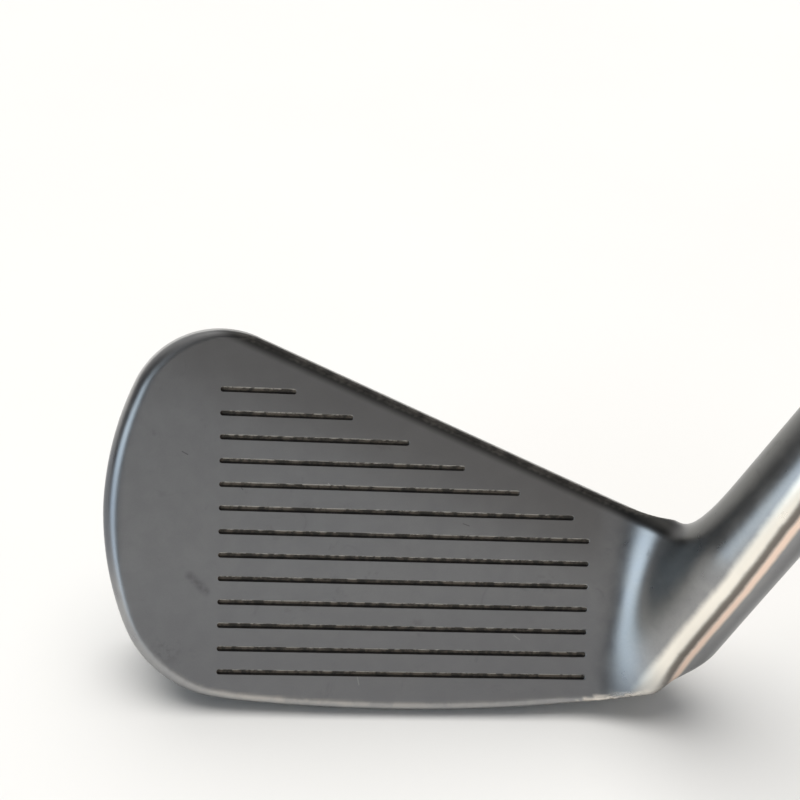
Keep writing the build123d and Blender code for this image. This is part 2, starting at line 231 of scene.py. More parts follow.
def head_field(points):
    """The whole head without its score lines."""
    x, y, z = points.T
    rel = points - EDGE
    out, high = rel @ FACE_OUT, rel @ FACE_UP
    low = high + out * math.tan(LOFT - BOUNCE)
    toe_high, top, sole, upper, lower = outline_fields(x, high, low)
    wall = np.maximum(upper, lower)
    relief = line_side(y, z, (0.0, 0.0), FLANGE_LOW)
    behind = back_field(y, z, out)
    toe_share, low_share = ease(-x, 22.0, 42.0), ease(-high, -14.0, -3.0)
    edge_round = EDGE_ROUND + EDGE_ROUND_TOE * toe_share + EDGE_ROUND_LOW * low_share
    blade = round_cut(out, np.maximum(wall, relief), edge_round)
    blade = round_cut(blade, behind, SMALL_ROUND)
    blade = round_cut(blade, x - HEEL_END, HEEL_ROUND)
    blade = round_cut(blade, -cavity_field(x, out, high, toe_high, top), SMALL_ROUND)
    block = ramp_field(x, y, out, high, wall, behind)
    outside = np.maximum(np.maximum(wall, relief), behind)
    blade = np.maximum(soft_join(blade, block, RAMP_BLEND), outside)
    foot = points - SHAFT_FOOT
    along, side = foot @ SHAFT_DIR, foot @ SHAFT_SIDE
    neck = round_cut(neck_place(points)[2] - HOSEL_RADIUS, along - HOSEL_TOP, 0.5)
    head = soft_join(blade, neck, NECK_BLEND_LOW + NECK_BLEND_HIGH * ease(high, 14.0, 34.0))
    sole_round = 0.01 + 0.6 * ease(x, 18.0, 24.0) + 5.0 * ease(x, 32.0, 48.0)
    head = round_cut(head, sole_field(x, sole, relief), sole_round)
    bore = np.maximum(np.hypot(side, foot[:, 1]) - BORE_RADIUS, BORE_FLOOR - along)
    head = np.maximum(head, -bore)
    return np.maximum(head, -weight_field(points))


def field_slope(field, points, reach=0.02):
    """Field value and gradient at points."""
    slope = np.empty_like(points)
    for axis in range(3):
        shift = np.zeros(3)
        shift[axis] = reach
        slope[:, axis] = (field(points + shift) - field(points - shift)) / (2 * reach)
    return field(points), slope


def grid_values(field, axes):
    """Field on a grid, one slab at a time."""
    gy, gz = np.meshgrid(axes[1], axes[2], indexing="ij")
    slabs = []
    for x in axes[0]:
        slab = np.column_stack([np.full(gy.size, x), gy.ravel(), gz.ravel()])
        slabs.append(field(slab).reshape(gy.shape))
    return np.array(slabs)


def surface_net(field, low, high, step):
    """Closed quad mesh of a field's zero surface, its points moved onto the surface."""
    axes = [np.arange(a, b + step, step) for a, b in zip(low, high)]
    values = grid_values(field, axes)
    inside = values < 0
    cells = tuple(n - 1 for n in values.shape)

    def at_corner(array, c):
        return array[c[0]:c[0] + cells[0], c[1]:c[1] + cells[1], c[2]:c[2] + cells[2]]

    corners = [(i, j, k) for i in (0, 1) for j in (0, 1) for k in (0, 1)]
    count = sum(at_corner(inside, c).astype(np.int8) for c in corners)
    active = (count > 0) & (count < len(corners))
    where = np.argwhere(active)
    index = np.full(cells, -1)
    index[active] = np.arange(len(where))
    total, hits = np.zeros((len(where), 3)), np.zeros(len(where))
    for start in corners:
        for axis in range(3):
            if start[axis]:
                continue
            end = tuple(1 if k == axis else c for k, c in enumerate(start))
            a, b = at_corner(values, start)[active], at_corner(values, end)[active]
            cross = (a < 0) != (b < 0)
            point = np.tile(np.array(start, float), (len(where), 1))
            point[:, axis] += np.where(cross, a / np.where(cross, a - b, 1), 0)
            total += point * cross[:, None]
            hits += cross
    points = np.array(low) + (where + total / hits[:, None]) * step
    faces = np.vstack([axis_quads(inside, index, axis) for axis in range(3)])
    for _ in range(3):
        points = settle(field, relax(points, faces))
    return points, faces


def settle(field, points):
    """Moves points onto the field's zero surface."""
    for _ in range(3):
        value, slope = field_slope(field, points)
        points = points - slope * (value / np.maximum((slope**2).sum(1), 0.2))[:, None]
    return points


def relax(points, faces):
    """Moves points halfway to the middle of their neighbours."""
    total, count = np.zeros_like(points), np.zeros(len(points))
    for k in range(4):
        here, there = faces[:, k], faces[:, (k + 1) % 4]
        count += np.bincount(here, minlength=len(points)) + np.bincount(there, minlength=len(points))
        for axis in range(3):
            total[:, axis] += np.bincount(here, points[there, axis], len(points))
            total[:, axis] += np.bincount(there, points[here, axis], len(points))
    return (points + total / count[:, None]) / 2


def axis_quads(inside, index, axis):
    """Quads across the grid edges along one axis that cross the surface."""
    u, v = (axis + 1) % 3, (axis + 2) % 3
    first = tuple(slice(0, -1) if k == axis else slice(None) for k in range(3))
    second = tuple(slice(1, None) if k == axis else slice(None) for k in range(3))
    change = inside[first] != inside[second]
    edges, start_in = np.argwhere(change), inside[first][change]
    columns = []
    for du, dv in ((-1, -1), (0, -1), (0, 0), (-1, 0)):
        cell = edges.copy()
        cell[:, u] += du
        cell[:, v] += dv
        columns.append(index[tuple(cell.T)])
    quads = np.column_stack(columns)
    quads[~start_in] = quads[~start_in][:, ::-1]
    return quads


# ---- mesh helpers -------------------------------------------------------------------------------
def mesh_object(name, points, faces, smooth=True):
    """Object from points in millimetres."""
    mesh = bpy.data.meshes.new(name)
    mesh.from_pydata((np.asarray(points) * MM).tolist(), [], [list(map(int, f)) for f in faces])
    mesh.shade_smooth() if smooth else mesh.shade_flat()
    thing = bpy.data.objects.new(name, mesh)
    bpy.context.scene.collection.objects.link(thing)
    return thing


def score_line(number):
    """Toe end, heel end and height on the face of one score line."""
    drop = number * GROOVE_PITCH
    height = GROOVE_TOP - drop
    topline_x = (TOPLINE_HEIGHT - GROOVE_MARGIN - height) / math.tan(TOPLINE_SLOPE)
    heel = min(topline_x, GROOVE_HEEL + drop * GROOVE_LEAN)
    return GROOVE_TOE + drop * GROOVE_LEAN, heel, height


def score_cutter():
    """All score lines as one cutter, its ends round."""
    turns = 10
    points, faces = [], []
    for number in range(GROOVE_COUNT):
        toe, heel, height = score_line(number)
        start = len(points)
        size = 2 * turns + 2
        for depth, half in GROOVE_PROFILE:
            for end, centre in ((1, heel - GROOVE_HALF), (-1, toe + GROOVE_HALF)):
                for k in range(turns + 1):
                    angle = math.pi * (k / turns - 0.5)
                    x = centre + end * half * math.cos(angle)
                    up = height + end * half * math.sin(angle)
                    points.append(from_face(up, depth) + np.array([x, 0.0, 0.0]))
        for ring in range(len(GROOVE_PROFILE) - 1):
            for k in range(size):
                a, b = start + ring * size + k, start + ring * size + (k + 1) % size
                faces.append((a, a + size, b + size, b))
        faces.append(tuple(range(start, start + size)))
        last = start + (len(GROOVE_PROFILE) - 1) * size
        faces.append(tuple(reversed(range(last, last + size))))
    return mesh_object("score_cutter", points, faces, smooth=False)


def loop_array(mesh, name, width, dtype):
    values = np.empty(len(mesh.loops) * width, dtype)
    mesh.loops.foreach_get(name, values)
    return values


def make_head():
    """Head mesh with its score lines cut in, its normals taken from the field."""
    points, quads = surface_net(head_field, (-45, -17, -1), (71, 22, 64), HEAD_STEP)
    blank = mesh_object("head_blank", points, quads)
    cutter = score_cutter()
    cut = blank.modifiers.new("score_lines", "BOOLEAN")
    cut.object, cut.operation, cut.solver = cutter, "DIFFERENCE", "EXACT"
    view = bpy.context.evaluated_depsgraph_get()
    mesh = bpy.data.meshes.new_from_object(blank.evaluated_get(view))
    for spare in (blank, cutter):
        bpy.data.objects.remove(spare)
    mesh.name = "head"
    head = bpy.data.objects.new("head", mesh)
    bpy.context.scene.collection.objects.link(head)
    finish_head_mesh(mesh)
    return head


def groove_faces(centre):
    """Which faces are walls or floors of the score lines."""
    rel = centre - EDGE
    out, high = rel @ FACE_OUT, rel @ FACE_UP
    number = np.clip(np.round((GROOVE_TOP - high) / GROOVE_PITCH), 0, GROOVE_COUNT - 1)
    near = np.abs(high - GROOVE_TOP + number * GROOVE_PITCH) < 2 * GROOVE_HALF
    ends = np.array([score_line(int(k))[:2] for k in number])
    near &= (centre[:, 0] > ends[:, 0] - GROOVE_HALF) & (centre[:, 0] < ends[:, 1] + GROOVE_HALF)
    return near & (out < -0.05) & (out > -2 * GROOVE_DEPTH)


def finish_head_mesh(mesh):
    """Normals and score-line faces of the head, and the masks that its material reads."""
    count = len(mesh.vertices)
    co = np.empty(count * 3)
    mesh.vertices.foreach_get("co", co)
    points = co.reshape(-1, 3) / MM
    value, slope = field_slope(head_field, points)
    normal = slope / np.maximum(np.linalg.norm(slope, axis=1), 1e-6)[:, None]
    polys = len(mesh.polygons)
    poly_normal, centre = np.empty(polys * 3), np.empty(polys * 3)
    mesh.polygons.foreach_get("normal", poly_normal)
    mesh.polygons.foreach_get("center", centre)
    poly_normal = poly_normal.reshape(-1, 3)
    in_groove = groove_faces(centre.reshape(-1, 3) / MM)
    totals = np.empty(polys, np.int32)
    mesh.polygons.foreach_get("loop_total", totals)
    loop_poly = np.repeat(np.arange(polys), totals)
    loop_vertex = loop_array(mesh, "vertex_index", 1, np.int32)
    flat = poly_normal[loop_poly]
    loop_normal = normal[loop_vertex]
    sharp = in_groove[loop_poly] | (np.abs(value[loop_vertex]) > 0.03)
    loop_normal[sharp] = flat[sharp]
    mesh.polygons.foreach_set("material_index", in_groove.astype(np.int32))
    mesh.polygons.foreach_set("use_smooth", np.ones(polys, bool))
    mesh.normals_split_custom_set(loop_normal.tolist())
    out = (points - EDGE) @ FACE_OUT
    # edge mask for rubbed edges and the painted floor reflection: how quickly the surface turns nearby,
    # mostly on the front of the head
    wear_reach = 0.8
    _, deeper = field_slope(head_field, points - normal * wear_reach, 0.05)
    deeper /= np.maximum(np.linalg.norm(deeper, axis=1), 1e-6)[:, None]
    edge_rub_and_painted_reflection = np.clip((1 - (deeper * normal).sum(1)) * 2, 0, 1) * (0.1 + 0.9 * ease(out, -7.0, -3.5))
    face = ease(out, -0.25, -0.02) * (1 - ease(points[:, 0], 27.5, 31.0))
    side, across, radial = neck_place(points)
    neck = 1 - ease(radial - HOSEL_RADIUS, 0.3, 3.5)
    high = (points - EDGE) @ FACE_UP
    top = (high - TOPLINE_HEIGHT) * TOP_NORMAL[1] + points[:, 0] * TOP_NORMAL[0]
    crest = ease(points[:, 0], -36.0, -24.0) * (1 - neck)
    above = np.maximum((points - SHAFT_FOOT) @ SHAFT_DIR - 30.0, 0)
    turn = np.degrees(np.arctan2(side, -across)) + 0.6 * above
    for name, values in (("edge_rub_and_painted_reflection", edge_rub_and_painted_reflection), ("face", face), ("neck", neck), ("turn", turn),
                         ("upper", top), ("crest", crest)):
        layer = mesh.attributes.new(name, "FLOAT", "POINT")
        layer.data.foreach_set("value", values.astype(np.float32))


# ---- grip ---------------------------------------------------------------------------------------
def grip_radius(distance):
    share = (distance - GRIP_MOUTH) / (GRIP_BUTT - GRIP_MOUTH)
    return GRIP_MOUTH_RADIUS + (GRIP_BUTT_RADIUS - GRIP_MOUTH_RADIUS) * share


def grip_relief(turn, distance):
    """Depth of the moulded pattern below the grip's outer surface."""
    row = (distance - GRIP_MOUTH) / PATTERN_PITCH
    a = np.abs(((turn * PATTERN_AROUND + row) % 1) - 0.5) * 2
    b = np.abs(((turn * PATTERN_AROUND - row) % 1) - 0.5) * 2
    channel = np.maximum(ease(a, 0.62, 0.9), ease(b, 0.62, 0.9))
    pattern = PATTERN_DEPTH * channel
    plain = np.zeros_like(distance)
    for start, end in ((GRIP_MOUTH, GRIP_MOUTH + 13), (GRIP_MOUTH + 128, GRIP_MOUTH + 137),
                       (GRIP_BUTT - 14, GRIP_BUTT)):
        plain = np.maximum(plain, ease(distance, start - 1, start) * (1 - ease(distance, end, end + 1)))
        for edge in (start, end):
            line = 1 - np.clip(np.abs(distance - edge) / 0.9, 0, 1)
            pattern = np.maximum(pattern * (1 - ease(line, 0, 0.3)), LINE_DEPTH * ease(line, 0.1, 0.8))
    return pattern * (1 - plain) + plain * GRIP_SKIN


def make_grip():
    """Closed grip sleeve with its moulded pattern in the mesh."""
    around, rows = ((220, 400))
    distance = np.linspace(GRIP_MOUTH + GRIP_SKIN, GRIP_BUTT - GRIP_SKIN, rows)
    turn = np.arange(around) / around
    s, t = np.meshgrid(distance, turn, indexing="ij")
    radius = grip_radius(s) - GRIP_SKIN - grip_relief(t, s)
    into_round = np.clip((s - GRIP_MOUTH) / GRIP_MOUTH_ROUND, 0, 1)
    radius -= GRIP_MOUTH_ROUND * (1 - np.sqrt(1 - (1 - into_round) ** 2))
    outer = ring_points(s, t, radius)
    ends = np.meshgrid(distance[[-1, 0]], turn, indexing="ij")
    inner = ring_points(*ends, TAPE_RADIUS + GRIP_SKIN)
    points = np.vstack([outer.reshape(-1, 3), inner.reshape(-1, 3)])
    faces = []
    total = rows + 2
    for ring in range(total):
        for k in range(around):
            a, b = ring * around + k, ring * around + (k + 1) % around
            c, d = ((ring + 1) % total) * around + (k + 1) % around, ((ring + 1) % total) * around + k
            faces.append((a, b, c, d))
    return mesh_object("grip_sleeve", points, faces)


def ring_points(distance, turn, radius):
    """Points round the shaft axis."""
    angle = 2 * math.pi * turn
    across = np.array([0.0, 1.0, 0.0])
    return (SHAFT_FOOT + distance[..., None] * SHAFT_DIR
            + (radius * np.cos(angle))[..., None] * SHAFT_SIDE
            + (radius * np.sin(angle))[..., None] * across)


# ---- materials ----------------------------------------------------------------------------------
class Look:
    """One node material, built step by step around its Principled shader."""

    def __init__(self, name, **values):
        self.material = bpy.data.materials.new(name)
        self.material.use_nodes = True
        self.tree = self.material.node_tree
        self.shader = self.tree.nodes["Principled BSDF"]
        for key, value in values.items():
            self.shader.inputs[key.replace("_", " ")].default_value = value
        place = self.tree.nodes.new("ShaderNodeTexCoord").outputs["Object"]
        scale = self.tree.nodes.new("ShaderNodeVectorMath")
        scale.operation = "SCALE"
        scale.inputs["Scale"].default_value = 1 / MM
        self.tree.links.new(place, scale.inputs[0])
        self.place = scale.outputs[0]

    def put(self, socket, value):
        if isinstance(value, bpy.types.NodeSocket):
            self.tree.links.new(value, socket)
        else:
            socket.default_value = value

    def stretch(self, x, y, z, turn=0.0, tilt=0.0):
        """The place in millimetres, scaled by axis for grain that runs one way."""
        node = self.tree.nodes.new("ShaderNodeMapping")
        self.put(node.inputs["Vector"], self.place)
        node.inputs["Rotation"].default_value = (tilt, turn, 0)
        node.inputs["Scale"].default_value = (x, y, z)
        return node.outputs[0]

    def noise(self, scale, detail=2.0, rough=0.5, place=None, distort=0.0):
        node = self.tree.nodes.new("ShaderNodeTexNoise")
        self.put(node.inputs["Vector"], place or self.place)
        node.inputs["Scale"].default_value = scale
        node.inputs["Detail"].default_value = detail
        node.inputs["Roughness"].default_value = rough
        node.inputs["Distortion"].default_value = distort
        return node.outputs[0]

    def math(self, kind, a, b=0.0, clamp=False):
        node = self.tree.nodes.new("ShaderNodeMath")
        node.operation, node.use_clamp = kind, clamp
        self.put(node.inputs[0], a)
        self.put(node.inputs[1], b)
        return node.outputs[0]

    def vector(self, kind, a, b):
        node = self.tree.nodes.new("ShaderNodeVectorMath")
        node.operation = kind
        self.put(node.inputs[0], a)
        self.put(node.inputs[1], b)
        return node.outputs["Value" if kind in ("DISTANCE", "DOT_PRODUCT", "LENGTH") else 0]

    def remap(self, value, low, high, start=0.0, end=1.0):
        node = self.tree.nodes.new("ShaderNodeMapRange")
        node.interpolation_type = "SMOOTHSTEP"
        for socket, given in zip(node.inputs, (value, low, high, start, end)):
            self.put(socket, given)
        return node.outputs[0]

    def attribute(self, name):
        node = self.tree.nodes.new("ShaderNodeAttribute")
        node.attribute_name = name
        return node.outputs["Fac"]

    def blend(self, share, a, b):
        """Mix of two colours."""
        node = self.tree.nodes.new("ShaderNodeMix")
        node.data_type = "RGBA"
        self.put(node.inputs["Factor"], share)
        self.put(node.inputs["A"], a)
        self.put(node.inputs["B"], b)
        return node.outputs["Result"]

    def bump(self, height, strength, distance=0.05, normal=None):
        node = self.tree.nodes.new("ShaderNodeBump")
        node.inputs["Strength"].default_value = strength
        node.inputs["Distance"].default_value = distance * MM
        self.put(node.inputs["Height"], height)
        if normal is not None:
            self.put(node.inputs["Normal"], normal)
        return node.outputs[0]

    def give(self, **sockets):
        for key, value in sockets.items():
            self.put(self.shader.inputs[key.replace("_", " ")], value)
        return self.material


def on_face(x, height):
    """Point on the face, in millimetres."""
    return tuple(float(c) for c in from_face(height, 0) + np.array([x, 0.0, 0.0]))


# small scratches on the face: X and height of both ends, and whether they are bright
FACE_SCRATCHES = (
    (-25.0, 33.6, -24.2, 32.6, False), (-12.0, 33.9, -11.4, 33.2, True), (-33.0, 37.8, -32.2, 37.4, False),
    (-6.4, 5.6, -6.1, 4.5, True), (8.0, 28.6, 8.9, 28.3, False), (16.5, 12.2, 17.4, 11.6, True),
)
# faint dirt on the face: X, height and size
FACE_STAINS = ((-34, 9, 3.0), (21, 20, 2.4), (2, 13, 2.0))
# painted shade, highlight and reflection bands round the neck: turn from its front and half width in
# degrees, share, colour
PAINTED_NECK_LIGHT = (
    (-84, 60, 0.60, (0.12, 0.12, 0.11, 1)),      # painted shade in the hollow of the neck
    (-20, 14, 0.95, (1.0, 0.95, 0.85, 1)),       # painted highlight along the front
    (-7, 8, 0.75, (0.15, 0.125, 0.10, 1)),       # painted shade in a line beside it
    (3, 8, 0.90, (0.98, 0.76, 0.62, 1)),         # painted warm reflection line
    (38, 34, 0.75, (0.13, 0.13, 0.135, 1)),      # painted shade on the heel side
)


def scratch(look, start, end, width):
    """Mask of one thin scratch between two points."""
    a, b = Vector(start), Vector(end)
    step = b - a
    offset = look.vector("SUBTRACT", look.place, tuple(a))
    reached = look.vector("DOT_PRODUCT", offset, tuple(step))
    share = look.math("DIVIDE", reached, step.length_squared, clamp=True)
    along = look.tree.nodes.new("ShaderNodeVectorMath")
    along.operation = "SCALE"
    along.inputs[0].default_value = tuple(step)
    look.put(along.inputs["Scale"], share)
    apart = look.vector("DISTANCE", offset, along.outputs[0])
    return look.remap(apart, width, 0.0)


def face_marks(look, tone):
    """Smear, stains and scratches on the face."""
    rub = scratch(look, on_face(-31.2, 20.0), on_face(-28.9, 17.8), 1.0)
    rub = look.math("MULTIPLY", rub, look.remap(look.noise(1.2, 3, 0.6), 0.3, 0.6, 0.5, 1.0))
    tone = look.blend(look.math("MULTIPLY", rub, 0.5), tone, (0.15, 0.15, 0.155, 1))
    for x, height, size in FACE_STAINS:
        near = look.remap(look.vector("DISTANCE", look.place, on_face(x, height)), size, size * 0.2)
        near = look.math("MULTIPLY", near, look.remap(look.noise(0.9, 4, 0.6), 0.42, 0.62))
        tone = look.blend(look.math("MULTIPLY", near, 0.3), tone, (0.14, 0.135, 0.13, 1))
    for x0, h0, x1, h1, is_bright in FACE_SCRATCHES:
        mark = scratch(look, on_face(x0, h0), on_face(x1, h1), 0.13)
        colour = (0.75, 0.74, 0.72, 1) if is_bright else (0.1, 0.1, 0.1, 1)
        tone = look.blend(look.math("MULTIPLY", mark, 0.6), tone, colour)
    return tone


def paint_neck_light(look, tone, mottle):
    """Painted shade, highlights and reflections in bands along the neck and hosel."""
    neck, turn = look.attribute("neck"), look.attribute("turn")
    waver = look.math("MULTIPLY", look.math("SUBTRACT", mottle, 0.5), 4.0)
    turn = look.math("ADD", turn, waver)
    for centre, half, share, colour in PAINTED_NECK_LIGHT:
        apart = look.math("ABSOLUTE", look.math("SUBTRACT", turn, centre))
        mask = look.math("MULTIPLY", look.remap(apart, half, half * 0.2), neck)
        tone = look.blend(look.math("MULTIPLY", mask, share), tone, colour)
    return tone


def painted_edge_shade(look, tone, face):
    """Painted shade on the toe edge, the upper face and the topline."""
    # painted shade along the toe edge
    toe = look.remap(look.vector("DOT_PRODUCT", look.place, (-1.0, 0.0, 0.0)), 40.5, 43.8)
    tone = look.blend(look.math("MULTIPLY", toe, 0.8), tone, (0.09, 0.10, 0.12, 1))
    # painted shade towards the top of the face
    rise = look.math("MULTIPLY", look.remap(look.attribute("upper"), -16.0, -3.0), face)
    tone = look.blend(look.math("MULTIPLY", rise, 0.55), tone, (0.205, 0.195, 0.185, 1))
    # painted shade on the topline's rim
    rim = look.remap(look.attribute("upper"), -2.2, -0.9)
    rim = look.math("MULTIPLY", rim, look.attribute("crest"))
    return look.blend(look.math("MULTIPLY", rim, 0.85), tone, (0.035, 0.034, 0.03, 1))


def rubbed_edges_and_painted_light(look, tone, mottle, face):
    """Painted shade on the foot of the face, and bright rubbed edges raised into a painted floor
    reflection along the low leading edge: the colour and the mask of both.
    """
    rub_and_painted_reflection = look.math("MULTIPLY", look.attribute("edge_rub_and_painted_reflection"), look.remap(mottle, 0.35, 0.6, 0.3, 0.8))
    height = look.vector("DOT_PRODUCT", look.place, (0.0, 0.0, 1.0))
    heelward = look.vector("DOT_PRODUCT", look.place, (1.0, 0.0, 0.0))
    # painted shade towards the bottom of the face
    foot = look.math("MULTIPLY", look.remap(height, 20.0, 5.0), face)
    tone = look.blend(look.math("MULTIPLY", foot, 0.35), tone, (0.22, 0.22, 0.23, 1))
    # painted floor reflection: the bright edges are raised along the low leading edge, most towards the
    # toe
    toeward = look.remap(heelward, 24.0, -22.0, 1.0, 3.4)
    low_edge = look.math("MULTIPLY", look.remap(height, 14.0, 6.0), toeward)
    rub_and_painted_reflection = look.math("MULTIPLY", rub_and_painted_reflection, look.math("ADD", low_edge, 0.15), clamp=True)
    share = look.math("MULTIPLY", rub_and_painted_reflection, 0.8, clamp=True)
    return look.blend(share, tone, (0.97, 0.88, 0.76, 1)), rub_and_painted_reflection


def steel_look():
    """Satin forged steel: fine blasted grain, mottling, handling smudges, bright rubbed edges; painted
    floor reflection, highlights and shade on edges, neck and face.
    """
    look = Look("forged_steel_satin", Metallic=1.0)
    grain = look.noise(7.0, 3, 0.6)
    mottle = look.noise(0.35, 4, 0.6, distort=0.4)
    cloud = look.noise(0.07, 3, 0.55, distort=0.6)
    brushed = look.noise(1.0, 3, 0.6, place=look.stretch(0.12, 9, 9))
    smudge = look.remap(look.noise(0.16, 5, 0.65, distort=1.2), 0.60, 0.72)
    face = look.attribute("face")
    patchy = look.remap(mottle, 0.3, 0.7)
    dark = look.blend(patchy, (0.365, 0.368, 0.374, 1), (0.39, 0.392, 0.395, 1))
    satin = look.blend(patchy, (0.30, 0.30, 0.305, 1), (0.35, 0.347, 0.343, 1))
    tone = look.blend(face, satin, dark)
    for mask, share, colour in (
        (look.remap(cloud, 0.4, 0.65), 0.10, (0.30, 0.315, 0.345, 1)),
        (smudge, 0.18, (0.12, 0.117, 0.112, 1)),
        (look.remap(grain, 0.35, 0.65), 0.12, (0.24, 0.24, 0.24, 1)),
    ):
        tone = look.blend(look.math("MULTIPLY", mask, share), tone, colour)
    tone = face_marks(look, tone)
    tone = paint_neck_light(look, tone, mottle)
    tone = painted_edge_shade(look, tone, face)
    tone, rub_and_painted_reflection = rubbed_edges_and_painted_light(look, tone, mottle, face)
    rough = look.remap(mottle, 0.25, 0.75, 0.27, 0.33)
    rough = look.math("ADD", rough, look.math("MULTIPLY", face, 0.05))
    rough = look.math("ADD", rough, look.math("MULTIPLY", smudge, 0.06))
    rough = look.math("SUBTRACT", rough, look.math("MULTIPLY", rub_and_painted_reflection, 0.03))
    metal = look.math("SUBTRACT", 1.0, look.math("MULTIPLY", rub_and_painted_reflection, 0.55))
    normal = look.bump(grain, 0.18, 0.03)
    normal = look.bump(brushed, 0.10, 0.03, normal)
    return look.give(Base_Color=tone, Roughness=rough, Metallic=metal, Normal=normal)


def groove_look():
    """Inside of a score line: dirt in patches, a painted highlight on the upper lip and painted shade on
    the lower wall.
    """
    look = Look("score_line_dirt_and_painted_light", Metallic=0.5)
    patch = look.remap(look.noise(0.8, 4, 0.6), 0.4, 0.62)
    grit = look.noise(9.0, 3, 0.6)
    tone = look.blend(patch, (0.05, 0.044, 0.038, 1), (0.17, 0.14, 0.11, 1))
    tone = look.blend(look.math("MULTIPLY", look.remap(grit, 0.4, 0.7), 0.4), tone, (0.17, 0.15, 0.12, 1))
    height = look.vector("DOT_PRODUCT", look.vector("SUBTRACT", look.place, on_face(0, 0)),
                         tuple(float(c) for c in FACE_UP))
    drop = look.math("SUBTRACT", GROOVE_TOP + GROOVE_PITCH / 2, height)
    row = look.math("DIVIDE", drop, GROOVE_PITCH)
    below = look.math("MULTIPLY", look.math("SUBTRACT", look.math("FRACT", row), 0.5), GROOVE_PITCH)
    # painted shade on the lower wall of each score line
    shade = look.remap(below, 0.0, 0.24)
    tone = look.blend(look.math("MULTIPLY", shade, 0.9), tone, (0.006, 0.006, 0.006, 1))
    # painted highlight on the upper lip
    lip = look.math("MULTIPLY", look.remap(below, -0.12, -0.36), look.remap(patch, 0.1, 0.9, 0.15, 1.0))
    tone = look.blend(lip, tone, (0.80, 0.77, 0.70, 1))
    rough = look.math("SUBTRACT", look.remap(grit, 0.3, 0.7, 0.5, 0.75), look.math("MULTIPLY", lip, 0.2))
    return look.give(Base_Color=tone, Roughness=rough, Normal=look.bump(grit, 0.5, 0.05))


def chrome_look():
    """Plated shaft steel: bright, with fine lengthwise polishing lines and light handling marks."""
    look = Look("shaft_chrome", Metallic=1.0)
    turn = math.pi / 2 - LIE
    lines = look.noise(1.0, 3, 0.6, place=look.stretch(9, 9, 0.15, turn=-turn))
    haze = look.noise(0.05, 4, 0.6, distort=0.5)
    fleck = look.remap(look.noise(2.4, 3, 0.6), 0.66, 0.74)
    tone = look.blend(look.remap(haze, 0.35, 0.65), (0.66, 0.665, 0.67, 1), (0.74, 0.74, 0.735, 1))
    tone = look.blend(look.math("MULTIPLY", fleck, 0.25), tone, (0.45, 0.44, 0.42, 1))
    rough = look.math("ADD", look.remap(haze, 0.3, 0.7, 0.13, 0.20), look.math("MULTIPLY", fleck, 0.1))
    return look.give(Base_Color=tone, Roughness=rough, Normal=look.bump(lines, 0.06, 0.03))


def plastic_look(name, low, high, rough, grain_scale=5.0, bump=0.25):
    """Moulded plastic or rubber with fine texture, faint scuffs and dust."""
    look = Look(name)
    grain = look.noise(grain_scale, 3, 0.6)
    cloud = look.noise(0.12, 4, 0.6, distort=0.5)
    scuff = look.remap(look.noise(1.0, 4, 0.6, place=look.stretch(0.6, 3, 2)), 0.62, 0.75)
    tone = look.blend(look.remap(cloud, 0.35, 0.65), low, high)
    dust = tuple(min(1, c * 2.2) for c in high[:3]) + (1,)
    tone = look.blend(look.math("MULTIPLY", scuff, 0.2), tone, dust)
    finish = look.math("ADD", look.remap(grain, 0.3, 0.7, rough - 0.05, rough + 0.08),
                       look.math("MULTIPLY", scuff, 0.1))
    return look.give(Base_Color=tone, Roughness=finish, Normal=look.bump(grain, bump, 0.05))


def brushed_look(name, low, high, rough, along=(0.1, 8, 8)):
    """Brushed light metal with a one-way grain and small stains."""
    look = Look(name, Metallic=1.0)
    grain = look.noise(1.0, 4, 0.65, place=look.stretch(*along))
    stain = look.remap(look.noise(0.3, 4, 0.6, distort=0.8), 0.55, 0.72)
    tone = look.blend(look.remap(grain, 0.3, 0.7), low, high)
    tone = look.blend(look.math("MULTIPLY", stain, 0.25), tone, tuple(c * 0.5 for c in low[:3]) + (1,))
    finish = look.remap(grain, 0.3, 0.7, rough - 0.06, rough + 0.08)
    return look.give(Base_Color=tone, Roughness=finish, Normal=look.bump(grain, 0.15, 0.03))


def band_look():
    """Printed foil band: dark field with two plain silver stripes round the shaft."""
    look = Look("band_foil", Metallic=0.3)
    foot = look.vector("SUBTRACT", look.place, tuple(float(c) for c in SHAFT_FOOT))
    along = look.vector("DOT_PRODUCT", foot, tuple(float(c) for c in SHAFT_DIR))
    stripe = None
    for place, half in ((646.0, 1.6), (652.0, 0.6), (679.0, 1.6), (673.0, 0.6)):
        mask = look.remap(look.math("ABSOLUTE", look.math("SUBTRACT", along, place)), half + 0.15, half)
        stripe = mask if stripe is None else look.math("MAXIMUM", stripe, mask)
    speckle = look.noise(3.0, 4, 0.6)
    field = look.blend(look.remap(speckle, 0.35, 0.65), (0.035, 0.05, 0.09, 1), (0.05, 0.07, 0.12, 1))
    tone = look.blend(stripe, field, (0.62, 0.62, 0.63, 1))
    return look.give(Base_Color=tone, Roughness=look.remap(speckle, 0.3, 0.7, 0.22, 0.34),
                     Normal=look.bump(speckle, 0.05, 0.03))


def grey(value, cool=0.0):
    """Neutral colour, its blue raised by cool."""
    return (value, value, value + cool, 1)


def dress(node, material):
    """Gives a CAD node its finished material."""
    thing = nodes[node]
    if not thing.material_slots:
        thing.data.materials.append(material)
    for slot in thing.material_slots:
        slot.link = "OBJECT"
        slot.material = material


# ---- pieces -------------------------------------------------------------------------------------
def build_pieces():
    """Head and grip, modelled here in place of their plain CAD nodes."""
    head = make_head()
    head.data.materials.append(steel_look())
    head.data.materials.append(groove_look())
    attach(head, "root")
    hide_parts("head_body")
    grip = make_grip()
    rubber = plastic_look("grip_rubber", grey(0.012, 0.001), grey(0.022, 0.001), 0.62, 4.0)
    grip.data.materials.append(rubber)
    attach(grip, "root")
    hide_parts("grip")


